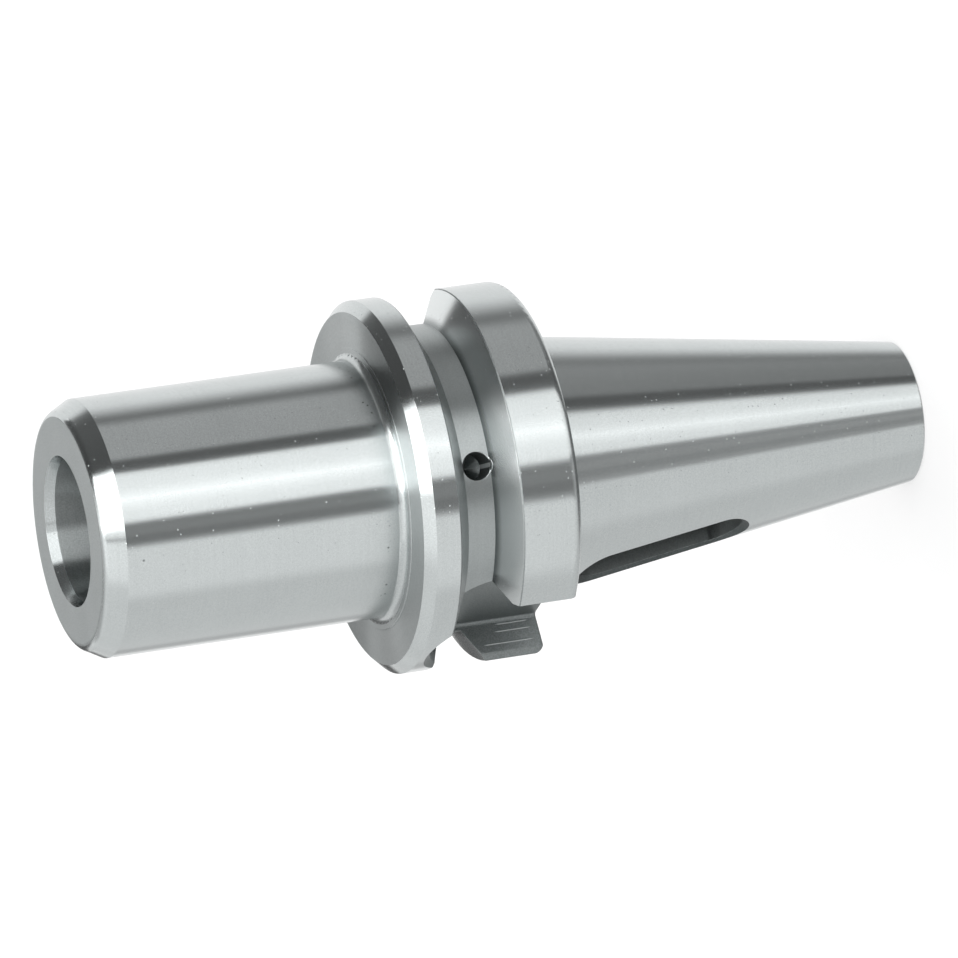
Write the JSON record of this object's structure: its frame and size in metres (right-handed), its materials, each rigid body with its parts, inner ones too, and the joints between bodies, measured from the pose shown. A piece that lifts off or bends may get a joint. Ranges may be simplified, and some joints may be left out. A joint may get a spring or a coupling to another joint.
{
  "type": "morse taper adapter",
  "caption": "One-piece steel tool holder: a steep taper shank behind a grooved drive flange, and a nose with a Morse taper socket and a cross slot for driving the tool out.",
  "frame": {"origin": "centre of the gauge plane, where the shank taper has its full diameter", "axes": "+Z along the axis from the shank to the nose; the drive keyways and the drift slot face +X and -X"},
  "size_m": [0.046, 0.046, 0.1084],
  "materials": {
    "ground_steel": "ground and turned, bright, bare"
  },
  "bodies": {
    "root": {"adapter_body": "ground_steel"}
  },
  "joints": []
}
